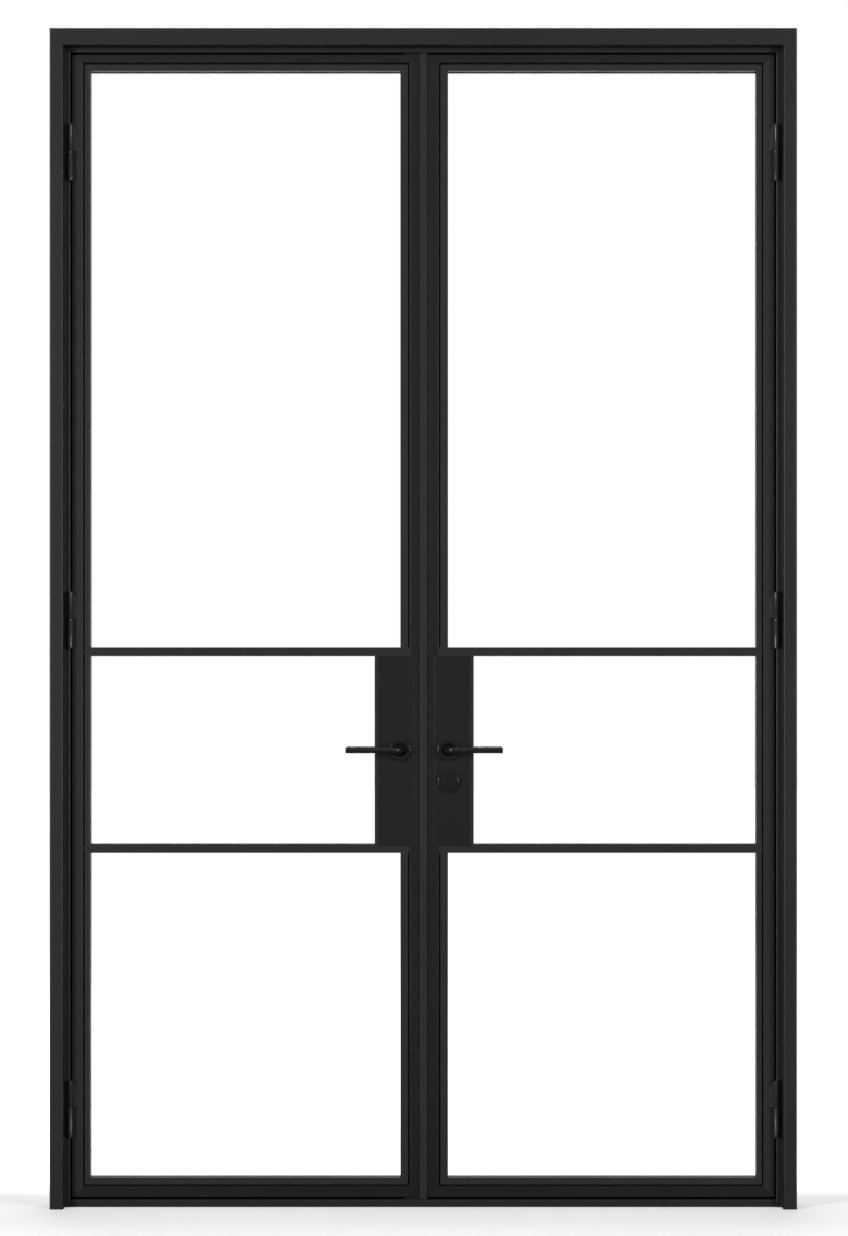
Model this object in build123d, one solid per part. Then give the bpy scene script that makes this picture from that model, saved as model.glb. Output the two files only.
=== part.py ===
from build123d import *
import os

# Glazed steel french doors in their own frame, all sizes in millimetres.
# X runs to the right, Y away from the front and Z up. The origin is on the floor,
# midway between the jambs and in the middle of the leaves' thickness.
# Both leaves open towards the front. The right leaf opens first and carries the key lock.

# Frame
frame_width = 1645.0
frame_height = 2600.0
frame_wall = 2.5
frame_edge_radius = 3.0
reveal_depth = 38.0
frame_back_reach = 27.0
jamb_face = 30.0
jamb_step = 13.0
head_face = 38.0
head_step = 11.0
stop_gap = 3.5
stop_reach = 18.0
sill_height = 17.0
sill_upstand = 15.0
seal_width = 8.0
seal_inset = 5.0
seal_clearance = 0.3
fixing_hole_radius = 4.5
top_fixing_drops = (900.0, 340.0)
low_fixing_heights = (320.0, 900.0)
head_fixing_offset = 400.0

# Leaves
leaf_depth = 45.0
leaf_wall = 2.0
leaf_edge_radius = 1.5
jamb_gap = 3.1
head_gap = 3.5
sill_gap = 4.8
meeting_gap = 3.5
meeting_line_x = 2.0
hinge_stile_face = 25.0
meeting_stile_face = 30.8
top_rail_face = 18.7
bottom_rail_face = 24.1
flange_thickness = 5.0

# Muntins
muntin_face = 19.5
muntin_web = 5.0
upper_muntin_rise = 217.0
lower_muntin_drop = 218.0

# Glazing
side_groove = 3.3
rail_groove = 4.4
hinge_bead_face = 11.5
meeting_bead_face = 16.8
top_bead_face = 13.0
bottom_bead_face = 15.0
lock_bead_face = 8.5
bead_recess = 1.5
bead_wall = 1.5
bead_foot = 4.0
gasket_thickness = 2.0
gasket_width = 4.0
pane_thickness = 5.0
pane_cavity = 6.0
pane_edge_gap = 2.0
spacer_width = 5.0
setting_block_length = 60.0

# Lock box, measured from the meeting line
lock_box_near = 23.0
lock_box_far = 101.0
lock_box_wall = 2.0
lock_box_lap = 3.9

# Lever handles, measured from the meeting line
handle_offset = 53.0
handle_height = 1010.5
lever_length = 120.0
lever_radius = 6.75
lever_stand_off = 47.25
lever_bend_radius = 11.0
lever_end_bevel = 1.0
lever_clearance = 0.3
rosette_radius = 24.5
rosette_thickness = 8.0
rosette_bevel = 1.2
spindle_square = 8.0
spindle_reach = 22.0
spindle_clearance = 0.1
spindle_hole_radius = 9.0
follower_radius = 9.0

# Key lock in the right leaf and the bolt gear in the left leaf
key_drop = 70.0
key_slot_width = 3.4
key_slot_height = 16.0
lock_case_depth = 17.0
lock_case_wall = 2.0
lock_case_far = 88.0
lock_case_above = 45.0
lock_case_below = 115.0
bolt_case_above = 60.0
bolt_case_below = 50.0
faceplate_width = 22.0
faceplate_length = 240.0
faceplate_thickness = 2.5
faceplate_drop = 35.0
plate_clearance = 0.2
bolt_clearance = 0.15
latch_width = 12.0
latch_height = 17.0
latch_throw = 12.5
latch_tail = 24.0
dead_bolt_width = 8.0
dead_bolt_height = 24.0
dead_bolt_tail = 40.0
key_levers_width = 14.0
key_levers_height = 22.0
shoot_bolt_radius = 5.0
shoot_bolt_offset = 17.5
shoot_bolt_throw = 8.0
shoot_bolt_clearance = 0.4
shoot_bolt_tail = 22.0
keep_thickness = 2.0
keep_length = 50.0
keep_width = 20.0

# Meeting strip on the right leaf, measured from the middle of the frame
strip_left = -8.2
strip_right = 8.8
strip_thickness = 4.5
strip_overrun = 3.0
strip_clearance = 0.6
strip_bevel = 1.5

# Hinges
top_hinge_drop = 270.0
middle_hinge_height = 1297.0
bottom_hinge_height = 217.0
hinge_edge_offset = 3.6
hinge_stand_off = 8.0
barrel_radius = 7.1
knuckle_length = 61.5
knuckle_chamfer = 1.0
washer_thickness = 3.0
washer_lip = 0.3
pin_radius = 4.0
pin_reach = 38.0
pin_seat_clearance = 0.02
pin_running_clearance = 0.05
knuckle_running_gap = 0.1
wing_reach = 15.0
wing_edge = 1.5
wing_slant_width = 6.0
wing_slant_height = 13.5
wing_drop = 2.5

# Planes and edges that follow from those sizes
half_width = frame_width / 2
leaf_front = -leaf_depth / 2
leaf_back = leaf_depth / 2
frame_front = leaf_front - reveal_depth
frame_back = leaf_back + frame_back_reach
stop_front = leaf_back + stop_gap
jamb_fixing_heights = low_fixing_heights + tuple(frame_height - drop for drop in top_fixing_drops)
hinge_heights = (frame_height - top_hinge_drop, middle_hinge_height, bottom_hinge_height)
rebate_x = half_width - jamb_face - jamb_step
rebate_z = frame_height - head_face - head_step
leaf_edge_x = rebate_x - jamb_gap
leaf_top = rebate_z - head_gap
leaf_bottom = sill_height + sill_gap
flange_front = leaf_back - flange_thickness
bead_front = leaf_front + bead_recess
pane_unit = 2 * pane_thickness + pane_cavity
pane_back = flange_front - gasket_thickness
pane_front = pane_back - pane_unit
bead_back = pane_front - gasket_thickness
bead_foot_front = bead_back - bead_foot
muntin_bead_face = (muntin_face - muntin_web) / 2
upper_muntin_z = handle_height + upper_muntin_rise
lower_muntin_z = handle_height - lower_muntin_drop
lock_box_top = upper_muntin_z - muntin_face / 2
lock_box_bottom = lower_muntin_z + muntin_face / 2 - lock_box_lap
key_height = handle_height - key_drop
faceplate_z = handle_height - faceplate_drop
hinge_axis_x = leaf_edge_x + hinge_edge_offset
hinge_axis_y = leaf_front - hinge_stand_off
frame_depth = frame_back - frame_front


def block(x, y, z):
    """Box between two limits on each axis."""
    (x0, x1), (y0, y1), (z0, z1) = sorted(x), sorted(y), sorted(z)
    centre = Pos((x0 + x1) / 2, (y0 + y1) / 2, (z0 + z1) / 2)
    return centre * Box(x1 - x0, y1 - y0, z1 - z0)


def turns_outward(before, corner, after):
    """Whether an outline, drawn anticlockwise, turns outward at a corner."""
    along, onward = Vector(corner) - Vector(before), Vector(after) - Vector(corner)
    return along.cross(onward).Z > 0


def rounded(points, radius):
    """Closed outline with its outward corners rounded and its inner corners left sharp."""
    outline = Polygon(*points, align=None)
    neighbours = zip(points[-1:] + points[:-1], points, points[1:] + points[:1])
    outer = [Vector(corner) for before, corner, after in neighbours if turns_outward(before, corner, after)]
    return fillet([v for v in outline.vertices() if Vector(v.X, v.Y) in outer], radius)


def stair_outline(treads, back, inset=0.0):
    """Corner points of a stepped section, each tread given as its reach and the plane where it starts."""
    points = [(inset, treads[0][1] + inset)]
    for index, (reach, start) in enumerate(treads):
        end = treads[index + 1][1] + inset if index + 1 < len(treads) else back - inset
        points.append((reach - inset, start + inset))
        points.append((reach - inset, end))
    points.append((inset, back - inset))
    return points


def along_side(section, side, rect):
    """Bar along one side of an upright rectangle: the section's x runs inwards and its y to the back."""
    x0, z0, x1, z1 = rect
    if side == "left":
        return extrude(Plane((x0, 0, z0), x_dir=(1, 0, 0), z_dir=(0, 0, 1)) * section, z1 - z0)
    if side == "right":
        return extrude(Plane((x1, 0, z1), x_dir=(-1, 0, 0), z_dir=(0, 0, -1)) * section, z1 - z0)
    if side == "top":
        return extrude(Plane((x0, 0, z1), x_dir=(0, 0, -1), z_dir=(1, 0, 0)) * section, x1 - x0)
    return extrude(Plane((x1, 0, z0), x_dir=(0, 0, 1), z_dir=(-1, 0, 0)) * section, x1 - x0)


def mitre_line(rect, steps, side, end):
    """Points of the cut between two neighbouring bars, from the outer corner inwards."""
    x0, z0, x1, z1 = rect
    points = []
    for across, along in zip(steps[side], steps[end]):
        x = x0 + across if side == "left" else x1 - across
        z = z0 + along if end == "bottom" else z1 - along
        points.append((x, z))
    return points


def mitred(bar, side, rect, steps):
    """Keep the stretch of a bar between the cuts at its two ends."""
    if side in ("left", "right"):
        outline = mitre_line(rect, steps, side, "bottom") + mitre_line(rect, steps, side, "top")[::-1]
    else:
        outline = mitre_line(rect, steps, "left", side) + mitre_line(rect, steps, "right", side)[::-1]
    corners = [point for index, point in enumerate(outline) if point != outline[index - 1]]
    return bar & extrude(Plane.XZ * Polygon(*corners, align=None), frame_depth, both=True)


def inset_rect(rect, left, bottom, right, top):
    """Rectangle moved inwards by its own amount on each side."""
    return (rect[0] + left, rect[1] + bottom, rect[2] - right, rect[3] - top)


def upright(outline, low, high):
    """Prism on a plan outline between two heights, whichever way round the outline is drawn."""
    return Pos(0, 0, low) * extrude(Polygon(*outline, align=None), high - low, dir=(0, 0, 1))


def ring(outer, inner, y):
    """Flat rectangular ring between two upright rectangles."""
    body = block((outer[0], outer[2]), y, (outer[1], outer[3]))
    return body - block((inner[0], inner[2]), y, (inner[1], inner[3]))


def outward(x, z, face):
    """Plane on the leaf's front (-1) or back (1) face, with its normal pointing away from the leaf."""
    return Plane((x, face * leaf_depth / 2, z), x_dir=(1, 0, 0), z_dir=(0, face, 0))


# Frame pieces

frame_rect = (-half_width, 0, half_width, frame_height)
jamb_treads = [
    (jamb_face, frame_front),
    (jamb_face + jamb_step, leaf_front),
    (jamb_face + jamb_step + stop_reach, stop_front),
]
head_treads = [
    (head_face, frame_front),
    (head_face + head_step, leaf_front),
    (head_face + head_step + stop_reach, stop_front),
]
sill_treads = [
    (sill_height, leaf_front),
    (sill_height + sill_upstand, stop_front),
]
frame_steps = {
    "left": [0] + [reach for reach, start in jamb_treads],
    "right": [0] + [reach for reach, start in jamb_treads],
    "top": [0] + [reach for reach, start in head_treads],
    "bottom": [0, 0, 0, 0],
}


def folded_tube(treads):
    """Hollow stepped section of the frame."""
    outside = rounded(stair_outline(treads, frame_back), frame_edge_radius)
    return outside - Polygon(*stair_outline(treads, frame_back, frame_wall), align=None)


def jamb(side):
    """Upright of the frame, with holes for the wall fixings in its rebate."""
    tube = along_side(folded_tube(jamb_treads), side, frame_rect)
    piece = mitred(tube, side, frame_rect, frame_steps)
    sign = -1 if side == "left" else 1
    for height in jamb_fixing_heights:
        place = Plane((sign * half_width, 0, height), z_dir=(-sign, 0, 0))
        piece -= extrude(place * Circle(fixing_hole_radius), jamb_face + jamb_step)
    return piece


def head():
    """Top member of the frame, with holes for the lintel fixings and the left leaf's top bolt."""
    tube = along_side(folded_tube(head_treads), "top", frame_rect)
    piece = mitred(tube, "top", frame_rect, frame_steps)
    for x in (-head_fixing_offset, head_fixing_offset):
        place = Plane((x, 0, frame_height), z_dir=(0, 0, -1))
        piece -= extrude(place * Circle(fixing_hole_radius), head_face + head_step)
    return piece - bolt_bore(rebate_z - 1, rebate_z + frame_wall + 1)


def sill():
    """Low threshold between the jambs, with an upstand behind the leaves."""
    outside = rounded(stair_outline(sill_treads, frame_back), frame_edge_radius)
    tube = outside - Polygon(*stair_outline(sill_treads, frame_back, frame_wall), align=None)
    piece = along_side(tube, "bottom", frame_rect)
    jamb_envelope = Polygon(*stair_outline(jamb_treads, frame_back), align=None)
    for side in ("left", "right"):
        piece -= along_side(jamb_envelope, side, frame_rect)
    return piece - bolt_bore(sill_height - frame_wall - 1, sill_height + 1)


def frame_seal():
    """Rubber strip on the stop that the closed leaves press towards."""
    jamb_inset = jamb_face + jamb_step + seal_inset
    head_inset = head_face + head_step + seal_inset
    outer = inset_rect(frame_rect, jamb_inset, sill_height + seal_inset, jamb_inset, head_inset)
    inner = inset_rect(outer, seal_width, seal_width, seal_width, seal_width)
    return ring(outer, inner, (leaf_back + seal_clearance, stop_front))


def shoot_bolt_x():
    """Place of the left leaf's vertical bolts."""
    return meeting_line_x - shoot_bolt_offset


def bolt_bore(low, high):
    """Clearance hole for a vertical bolt between two heights."""
    radius = shoot_bolt_radius + shoot_bolt_clearance
    return Pos(shoot_bolt_x(), 0, (low + high) / 2) * Cylinder(radius, high - low)


def bolt_keep(low):
    """Plate on the frame that guides a vertical bolt."""
    plate = Pos(shoot_bolt_x(), 0, low) * extrude(Rectangle(keep_length, keep_width), keep_thickness)
    return plate - bolt_bore(low - 1, low + keep_thickness + 1)


# Leaf pieces


class Leaf:
    """Edges and openings of one leaf, where side is -1 for the left one and 1 for the right one."""

    def __init__(self, side):
        self.side = side
        self.name = "left" if side < 0 else "right"
        self.hinge = "left" if side < 0 else "right"
        self.meeting = "right" if side < 0 else "left"
        self.hinge_x = side * leaf_edge_x
        self.meeting_x = meeting_line_x + side * meeting_gap / 2
        self.rect = self.spanning(self.hinge_x, self.meeting_x, leaf_bottom, leaf_top)
        self.hinge_wall_x = self.hinge_x - side * hinge_stile_face
        self.meeting_wall_x = self.meeting_x + side * meeting_stile_face
        self.lock_wall_x = self.from_line(lock_box_far)
        self.steps = {
            self.hinge: [0, hinge_stile_face, hinge_stile_face + side_groove + hinge_bead_face],
            self.meeting: [0, meeting_stile_face, meeting_stile_face + side_groove + meeting_bead_face],
            "top": [0, top_rail_face, top_rail_face + rail_groove + top_bead_face],
            "bottom": [0, bottom_rail_face, bottom_rail_face + rail_groove + bottom_bead_face],
        }

    def from_line(self, distance):
        """X at a distance from the meeting line, on this leaf's side."""
        return meeting_line_x + self.side * distance

    def spanning(self, x0, x1, z0, z1):
        return (min(x0, x1), z0, max(x0, x1), z1)

    def light(self, name):
        """Opening between the bars of one light, with its groove and bead on each side."""
        upper_web = (upper_muntin_z - muntin_web / 2, upper_muntin_z + muntin_web / 2)
        lower_web = (lower_muntin_z - muntin_web / 2, lower_muntin_z + muntin_web / 2)
        at_hinge = (side_groove, hinge_bead_face)
        at_meeting = (side_groove, meeting_bead_face)
        at_muntin = (0, muntin_bead_face)
        if name == "upper":
            z = (upper_web[1], leaf_top - top_rail_face)
            rect = self.spanning(self.hinge_wall_x, self.meeting_wall_x, *z)
            return rect, self.trims(at_hinge, at_meeting, (rail_groove, top_bead_face), at_muntin)
        if name == "middle":
            rect = self.spanning(self.hinge_wall_x, self.lock_wall_x, lower_web[1], upper_web[0])
            return rect, self.trims(at_hinge, (0, lock_bead_face), at_muntin, at_muntin)
        z = (leaf_bottom + bottom_rail_face, lower_web[0])
        rect = self.spanning(self.hinge_wall_x, self.meeting_wall_x, *z)
        return rect, self.trims(at_hinge, at_meeting, at_muntin, (rail_groove, bottom_bead_face))

    def trims(self, hinge, meeting, top, bottom):
        return {self.hinge: hinge, self.meeting: meeting, "top": top, "bottom": bottom}

    def sight(self, name):
        """Clear glass area of one light, inside its beads."""
        rect, trims = self.light(name)
        return inset_rect(rect, *[sum(trims[side]) for side in ("left", "bottom", "right", "top")])


def leaf_bar(leaf, side):
    """Hollow bar of the leaf's outer frame, with the flange behind the glass."""
    face, reach = leaf.steps[side][1:]
    outside = rounded(stair_outline([(face, leaf_front), (reach, flange_front)], leaf_back), leaf_edge_radius)
    bore = stair_outline([(face, leaf_front)], leaf_back, leaf_wall)
    bar = along_side(outside - Polygon(*bore, align=None), side, leaf.rect)
    return mitred(bar, side, leaf.rect, leaf.steps)


def lock_box_space(leaf, wall=0.0):
    """Room that the lock box takes in the leaf, or its inside where a wall is given."""
    x = (leaf.from_line(lock_box_near), leaf.lock_wall_x - leaf.side * wall)
    return block(x, (leaf_front + wall, leaf_back - wall), (lock_box_bottom + wall, lock_box_top - wall))


def plate_recess(leaf, clearance=plate_clearance):
    """Opening in the meeting edge for the lock's faceplate or the strike."""
    x = (leaf.meeting_x, leaf.meeting_x + leaf.side * faceplate_thickness)
    half = faceplate_length / 2 + clearance
    reach = faceplate_width / 2 + clearance
    return block(x, (-reach, reach), (faceplate_z - half, faceplate_z + half))


def meeting_stile(leaf):
    """Stile at the middle of the doorway, notched for the lock box and open at its faceplate."""
    return leaf_bar(leaf, leaf.meeting) - lock_box_space(leaf) - plate_recess(leaf)


def rail(leaf, side):
    """Top or bottom rail; the left leaf's rails let its vertical bolts through."""
    piece = leaf_bar(leaf, side)
    if leaf.side > 0:
        return piece
    if side == "top":
        return piece - bolt_bore(leaf_top - leaf_wall - 1, leaf_top + 1)
    return piece - bolt_bore(leaf_bottom - 1, leaf_bottom + leaf_wall + 1)


def muntin(leaf, height, lock_side):
    """Glazing bar: a web from stile to stile, a flange behind the glass and a cap over the lock box.

    lock_side is the direction of the lock box, -1 below the bar or 1 above it.
    """
    half_web, half_face = muntin_web / 2, muntin_face / 2
    web_x = (leaf.hinge_wall_x, leaf.meeting_wall_x)
    sight = leaf.sight("upper")
    lock_z = (height + lock_side * half_web, height + lock_side * half_face)
    glass_z = (height - lock_side * half_web, height - lock_side * half_face)
    groove_x = (leaf.meeting_wall_x, leaf.meeting_wall_x + leaf.side * side_groove)
    cap_x = (leaf.meeting_wall_x, leaf.lock_wall_x)
    bar = block(web_x, (bead_front, flange_front), (height - half_web, height + half_web))
    bar += block((sight[0], sight[2]), (flange_front, leaf_back), (height - half_face, height + half_face))
    bar += block(cap_x, (bead_front, bead_front + flange_thickness), lock_z)
    bar += block(groove_x, (bead_front, bead_foot_front), glass_z)
    return bar - lock_box_space(leaf)


def lock_box(leaf):
    """Box that holds the lock, with the flange of the middle light on its far side."""
    body = lock_box_space(leaf) - lock_box_space(leaf, lock_box_wall)
    flange_x = (leaf.lock_wall_x, leaf.lock_wall_x + leaf.side * lock_bead_face)
    body += block(flange_x, (flange_front, leaf_back), (lower_muntin_z + muntin_face / 2, lock_box_top))
    x = leaf.from_line(handle_offset)
    spindle_hole = Plane((x, leaf_front, handle_height), z_dir=(0, 1, 0)) * Circle(spindle_hole_radius)
    body -= extrude(spindle_hole, leaf_depth)
    if leaf.side > 0:
        body -= key_slot(x, leaf_front, leaf_back)
    return body


def key_slot(x, front, back):
    """Upright key slot from one plane to another."""
    place = Plane((x, front, key_height), x_dir=(0, 0, 1), z_dir=(0, 1, 0))
    return extrude(place * SlotOverall(key_slot_height, key_slot_width), back - front)


def bead(leaf, name, side):
    """One glazing bead: a small tube that leaves a groove beside its bar and stands on a foot."""
    rect, trims = leaf.light(name)
    groove, face = trims[side]
    middle, depth = (bead_front + bead_back) / 2, bead_back - bead_front
    tube = Pos(groove + face / 2, middle) * (
        Rectangle(face, depth) - Rectangle(face - 2 * bead_wall, depth - 2 * bead_wall)
    )
    if groove:
        tube += Pos(groove / 2, bead_back - bead_foot / 2) * Rectangle(groove, bead_foot)
    steps = {each: [0, trims[each][0], sum(trims[each])] for each in trims}
    return mitred(along_side(tube, side, rect), side, rect, steps)


lights = ("upper", "middle", "lower")


def glazing_beads(leaf):
    """All the beads of a leaf, four to each light."""
    sides = ("left", "top", "right", "bottom")
    return Compound(children=[bead(leaf, name, side) for name in lights for side in sides])


def pane(leaf, name):
    """Two sheets of glass of one sealed unit."""
    rect, trims = leaf.light(name)
    edge = inset_rect(rect, pane_edge_gap, pane_edge_gap, pane_edge_gap, pane_edge_gap)
    x, z = (edge[0], edge[2]), (edge[1], edge[3])
    front = block(x, (pane_front, pane_front + pane_thickness), z)
    back = block(x, (pane_back - pane_thickness, pane_back), z)
    return Compound(children=[front, back])


def edge_spacers(leaf):
    """Sealed edge bars between the sheets of glass, hidden behind the beads."""
    bars = []
    for name in lights:
        rect, trims = leaf.light(name)
        outer = inset_rect(rect, pane_edge_gap, pane_edge_gap, pane_edge_gap, pane_edge_gap)
        inner = inset_rect(outer, spacer_width, spacer_width, spacer_width, spacer_width)
        bars.append(ring(outer, inner, (pane_front + pane_thickness, pane_back - pane_thickness)))
    return Compound(children=bars)


def glazing_gaskets(leaf):
    """Rubber rings on both sides of the glass."""
    rings = []
    for name in lights:
        inner = leaf.sight(name)
        outer = inset_rect(inner, -gasket_width, -gasket_width, -gasket_width, -gasket_width)
        rings.append(ring(outer, inner, (bead_back, pane_front)))
        rings.append(ring(outer, inner, (pane_back, flange_front)))
    return Compound(children=rings)


def setting_blocks(leaf):
    """Packers that carry the glass near the two ends of its lower edge."""
    blocks = []
    for name in lights:
        rect, trims = leaf.light(name)
        quarter = (rect[2] - rect[0]) / 4
        for x in (rect[0] + quarter, rect[2] - quarter):
            x_span = (x - setting_block_length / 2, x + setting_block_length / 2)
            blocks.append(block(x_span, (pane_front, pane_back), (rect[1], rect[1] + pane_edge_gap)))
    return Compound(children=blocks)


def meeting_strip():
    """Cover strip on the right leaf that laps over the gap and the left leaf."""
    width = strip_right - strip_left
    centre = (strip_left + strip_right) / 2
    low, high = leaf_bottom - strip_overrun, leaf_top + strip_overrun
    place = Plane((centre, leaf_front, (low + high) / 2), x_dir=(1, 0, 0), z_dir=(0, -1, 0))
    strip = extrude(place * Rectangle(width, high - low), strip_thickness)
    strip = chamfer(strip.faces().sort_by(Axis.Y)[0].edges(), strip_bevel)
    relief_x = (strip_left - 1, meeting_line_x + meeting_gap / 2)
    return strip - block(relief_x, (leaf_front - strip_clearance, leaf_front + 1), (low - 1, high + 1))


# Handles


def cover_disc():
    """Round cover with a bevelled rim, its back on the leaf."""
    disc = extrude(Circle(rosette_radius), rosette_thickness)
    return chamfer(disc.faces().sort_by(Axis.Z)[-1].edges(), rosette_bevel)


def rosette(leaf, face):
    """Round cover under a lever, with a bore for the lever's neck."""
    bore = extrude(Circle(lever_radius + lever_clearance), rosette_thickness)
    return outward(leaf.from_line(handle_offset), handle_height, face) * (cover_disc() - bore)


def lever(leaf, face):
    """Lever handle: a round bar that comes out of the rosette and bends away from the middle."""
    tip = leaf.side * lever_length
    corners = [(0, 0, lever_clearance), (0, 0, lever_stand_off), (tip, 0, lever_stand_off)]
    path = FilletPolyline(*corners, radius=lever_bend_radius)
    bar = sweep(Plane(corners[0], x_dir=(1, 0, 0), z_dir=(0, 0, 1)) * Circle(lever_radius), path)
    end = bar.faces().sort_by(Axis.X)[0 if leaf.side < 0 else -1]
    bar = chamfer(end.edges(), lever_end_bevel)
    socket = spindle_square + 2 * spindle_clearance
    bar -= extrude(Rectangle(socket, socket), spindle_reach + spindle_clearance)
    return outward(leaf.from_line(handle_offset), handle_height, face) * bar


def spindle(leaf):
    """Square spindle between the two levers, with the lock's follower around its middle."""
    length = leaf_depth + 2 * spindle_reach
    bar = extrude(Rectangle(spindle_square, spindle_square), length / 2, both=True)
    follower_width = lock_case_depth - 2 * lock_case_wall - 2 * bolt_clearance
    follower = extrude(Circle(follower_radius), follower_width / 2, both=True)
    place = Plane((leaf.from_line(handle_offset), 0, handle_height), x_dir=(1, 0, 0), z_dir=(0, 1, 0))
    return place * (bar + follower)


def key_escutcheon(leaf, face):
    """Round cover with a key slot."""
    x = leaf.from_line(handle_offset)
    slot = extrude(SlotOverall(key_slot_height, key_slot_width, rotation=90), rosette_thickness)
    return outward(x, key_height, face) * (cover_disc() - slot)


# Locks and bolts


def lock_case(leaf, above, below):
    """Sheet metal case of a lock, open towards the meeting edge."""
    near = leaf.meeting_x + leaf.side * faceplate_thickness
    far = leaf.from_line(lock_case_far)
    half = lock_case_depth / 2
    low, high = handle_height - below, handle_height + above
    case = block((near, far), (-half, half), (low, high))
    inner_x = (near, far - leaf.side * lock_case_wall)
    inner_y = (lock_case_wall - half, half - lock_case_wall)
    case -= block(inner_x, inner_y, (low + lock_case_wall, high - lock_case_wall))
    x = leaf.from_line(handle_offset)
    hub_hole = Plane((x, -half, handle_height), z_dir=(0, 1, 0)) * Circle(spindle_square)
    return case - extrude(hub_hole, lock_case_depth)


def key_lock_case(leaf):
    """Case of the right leaf's lock, with its key slot."""
    half = lock_case_depth / 2
    case = lock_case(leaf, lock_case_above, lock_case_below)
    return case - key_slot(leaf.from_line(handle_offset), -half, half)


def key_levers(leaf):
    """Stack of the lock's levers behind the key slot, held between the sides of its case."""
    x = leaf.from_line(handle_offset)
    half = lock_case_depth / 2 - lock_case_wall
    span, rise = key_levers_width / 2, key_levers_height / 2
    return block((x - span, x + span), (-half, half), (key_height - rise, key_height + rise))


def bolt_gear_case(leaf):
    """Case of the left leaf's bolt gear, with holes for its two vertical bolts."""
    case = lock_case(leaf, bolt_case_above, bolt_case_below)
    top, bottom = handle_height + bolt_case_above, handle_height - bolt_case_below
    case -= bolt_bore(top - lock_case_wall - 1, top + 1)
    return case - bolt_bore(bottom - 1, bottom + lock_case_wall + 1)


def edge_plate(leaf):
    """Plate set flush in a meeting edge, with the openings for the latch and the dead bolt."""
    plate = plate_recess(leaf, 0)
    x = (leaf.meeting_x - leaf.side, leaf.meeting_x + leaf.side * (faceplate_thickness + 1))
    for height, width, z in (
        (latch_height, latch_width, handle_height),
        (dead_bolt_height, dead_bolt_width, key_height),
    ):
        half_width_y, half_height = width / 2 + bolt_clearance, height / 2 + bolt_clearance
        plate -= block(x, (-half_width_y, half_width_y), (z - half_height, z + half_height))
    return plate


def latch_bolt(leaf):
    """Spring latch, bevelled on the side that meets the strike as the leaf closes."""
    tip = leaf.meeting_x - leaf.side * latch_throw
    tail = leaf.meeting_x + leaf.side * latch_tail
    half = latch_width / 2
    outline = [(tail, -half), (tip, -half), (tip, -half + 1.5), (leaf.meeting_x, half), (tail, half)]
    return upright(outline, handle_height - latch_height / 2, handle_height + latch_height / 2)


def dead_bolt(leaf):
    """Dead bolt, drawn back flush with its faceplate."""
    x = (leaf.meeting_x, leaf.meeting_x + leaf.side * dead_bolt_tail)
    y = (-dead_bolt_width / 2, dead_bolt_width / 2)
    return block(x, y, (key_height - dead_bolt_height / 2, key_height + dead_bolt_height / 2))


def shoot_bolt(low, high):
    """Vertical bolt rod with chamfered ends."""
    rod = Pos(shoot_bolt_x(), 0, (low + high) / 2) * Cylinder(shoot_bolt_radius, high - low)
    return chamfer(rod.edges().filter_by(GeomType.CIRCLE), knuckle_chamfer)


# Hinges


def hinge_barrel(low, high, outer_end):
    """Round knuckle, upright at the local origin, with a chamfer on its upper (1) or lower (-1) end."""
    barrel = Pos(0, 0, low) * extrude(Circle(barrel_radius), high - low)
    rims = barrel.edges().filter_by(GeomType.CIRCLE).sort_by(Axis.Z)
    return chamfer(rims[-1 if outer_end > 0 else 0], knuckle_chamfer)


def frame_knuckle(side, height):
    """Lower knuckle, welded to the step of the jamb."""
    high = height - washer_thickness / 2
    low = high - knuckle_length
    foot_far = half_width - jamb_face - frame_edge_radius - hinge_axis_x
    foot_near = rebate_x + frame_edge_radius - hinge_axis_x
    near = (foot_near * side, hinge_stand_off)
    far = (foot_far * side, hinge_stand_off)
    outline = [(0, 0), near, far, (barrel_radius * side, 0)]
    foot = upright(outline, low + wing_drop, high - wing_drop)
    bore = Pos(0, 0, high - pin_reach) * extrude(Circle(pin_radius + pin_seat_clearance), pin_reach)
    return Pos(side * hinge_axis_x, hinge_axis_y, 0) * (hinge_barrel(low, high, -1) + foot - bore)


def leaf_knuckle(side, height):
    """Upper knuckle, drop-shaped, with a wing on the face of the hinge stile."""
    low = height + washer_thickness / 2 + knuckle_running_gap
    high = low + knuckle_length
    toward = -side
    foot_near = (hinge_edge_offset + leaf_edge_radius) * toward
    foot_far = wing_reach * toward
    outline = [
        (0, 0),
        (0, -barrel_radius),
        (foot_far, hinge_stand_off - wing_edge),
        (foot_far, hinge_stand_off),
        (foot_near, hinge_stand_off),
    ]
    wing = upright(outline, low + wing_drop, high - wing_drop)
    top = high - wing_drop
    slant = [
        (foot_far, top - wing_slant_height),
        (foot_far - toward * wing_slant_width, top),
        (foot_far + toward, top + 1),
        (foot_far + toward, top - wing_slant_height),
    ]
    wing -= extrude(Plane.XZ * Polygon(*slant, align=None), wing_reach, both=True)
    bore = Pos(0, 0, low) * extrude(Circle(pin_radius + pin_running_clearance), pin_reach)
    return Pos(side * hinge_axis_x, hinge_axis_y, 0) * (hinge_barrel(low, high, 1) + wing - bore)


def hinge_pin(side, height):
    """Pin seated in the frame knuckle, on which the leaf knuckle turns."""
    reach = pin_reach - knuckle_chamfer + washer_thickness / 2
    return Pos(side * hinge_axis_x, hinge_axis_y, height) * Cylinder(pin_radius, 2 * reach)


def hinge_washer(side, height):
    """Bearing washer between the knuckles, a little wider than they are."""
    washer = Cylinder(barrel_radius + washer_lip, washer_thickness)
    washer -= Cylinder(pin_radius + pin_running_clearance, washer_thickness)
    return Pos(side * hinge_axis_x, hinge_axis_y, height) * washer


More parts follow.
